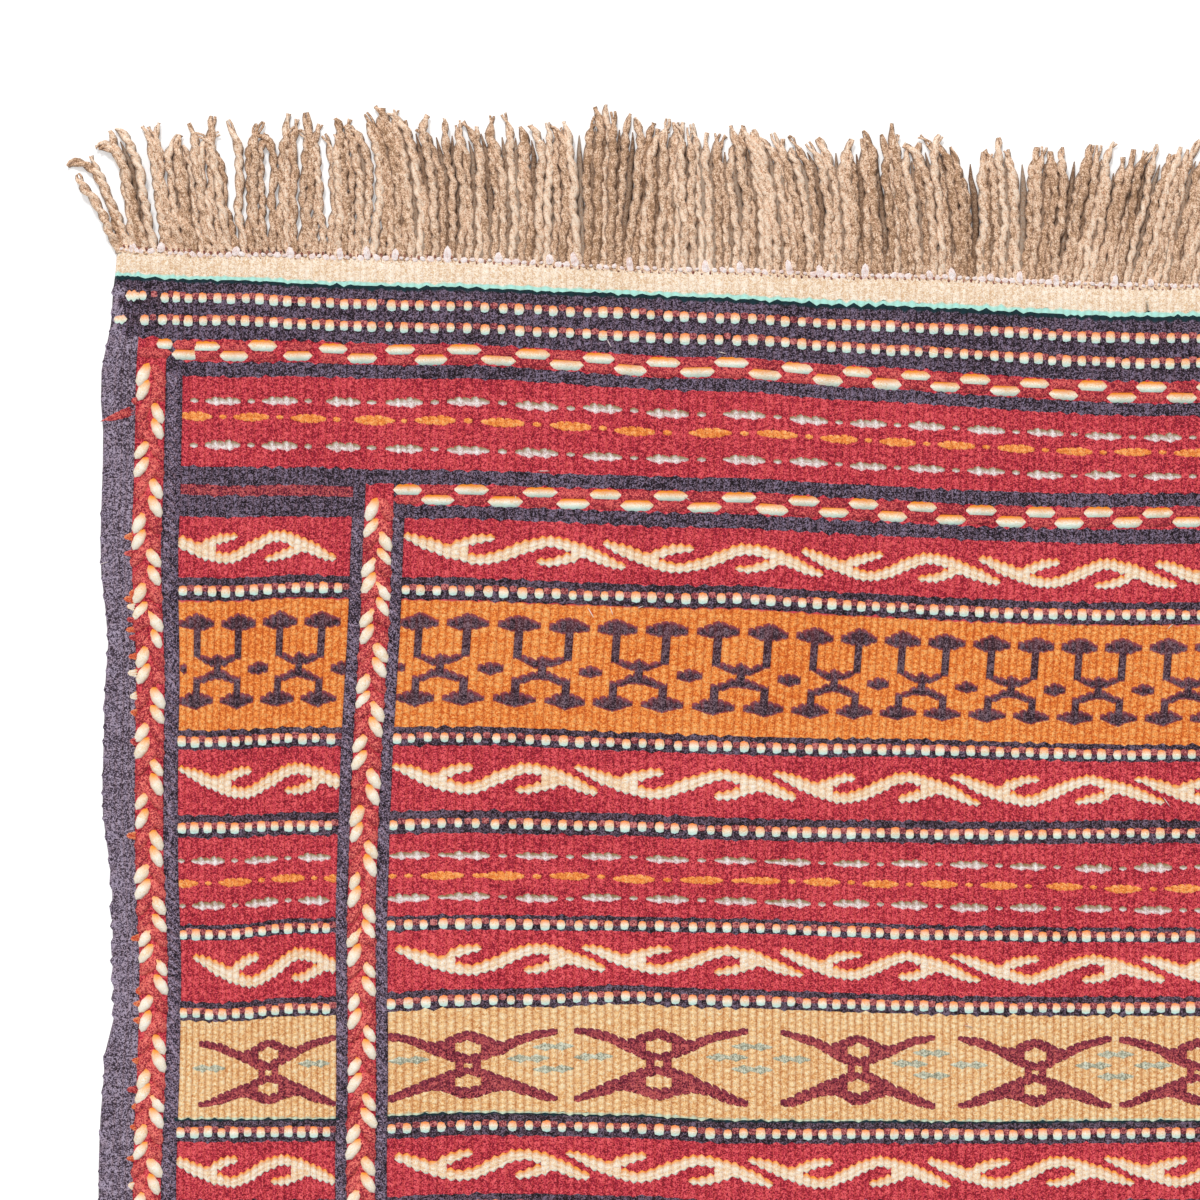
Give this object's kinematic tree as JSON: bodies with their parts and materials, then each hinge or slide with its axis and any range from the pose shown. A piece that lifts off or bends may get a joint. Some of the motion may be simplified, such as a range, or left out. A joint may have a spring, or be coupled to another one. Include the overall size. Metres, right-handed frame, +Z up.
{
  "type": "kilim rug",
  "caption": "Small flat-woven wool kilim rug lying flat, with banded geometric field, stitched double border, ivory end bands and twisted warp fringe at both ends.",
  "frame": {"origin": "middle of the underside, on the floor, of the box around the rug and both fringes", "axes": "+Z up out of the patterned face, +Y along the length towards the pictured end, +X across the width; the pictured corner is at -X, +Y"},
  "size_m": [0.8226, 1.2246, 0.0041],
  "materials": {
    "woven_wool": "matte",
    "warp_fringe": "matte",
    "cream_wool": "matte",
    "blue_violet_wool": "matte",
    "red_wool": "matte",
    "maroon_wool": "matte",
    "orange_wool": "matte",
    "pale_green_wool": "matte",
    "overcast_thread": "matte"
  },
  "bodies": {
    "root": {"woven_cloth": "woven_wool", "fringe_top": "warp_fringe", "fringe_bottom": "warp_fringe"}
  },
  "joints": []
}
